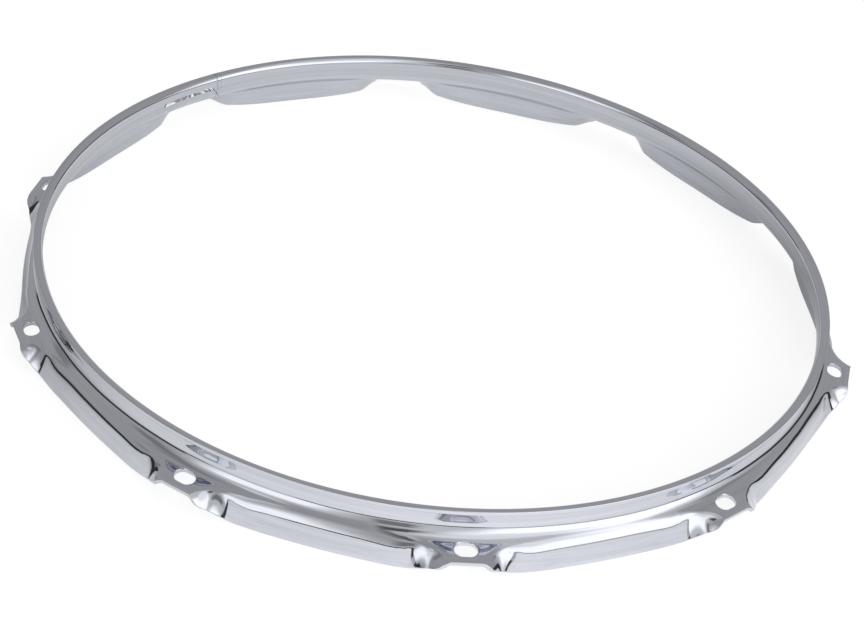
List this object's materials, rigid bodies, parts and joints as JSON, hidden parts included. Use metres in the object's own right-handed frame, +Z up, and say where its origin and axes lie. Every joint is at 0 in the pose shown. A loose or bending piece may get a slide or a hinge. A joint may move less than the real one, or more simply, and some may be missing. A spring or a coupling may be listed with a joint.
{
  "type": "drum hoop",
  "caption": "Pressed steel drum hoop: a round chromed ring with a small turned-out rim, an upright wall, curved skirts and flat slotted ears for tension rods.",
  "frame": {"origin": "on the ring's axis, at the height of the skirts' lower edges, so the hoop stands at z = 0 as it does on a drum", "axes": "+Z up along the ring's axis towards the rim, +X through the middle of one ear"},
  "size_m": [0.3954, 0.383, 0.0275],
  "materials": {
    "chrome_strip": "bright chrome plating with fine polishing marks",
    "chrome_weld": "ground weld under chrome plating, a little duller than the strip"
  },
  "bodies": {
    "root": {"hoop_strip": "chrome_strip", "butt_weld": "chrome_weld"}
  },
  "joints": []
}
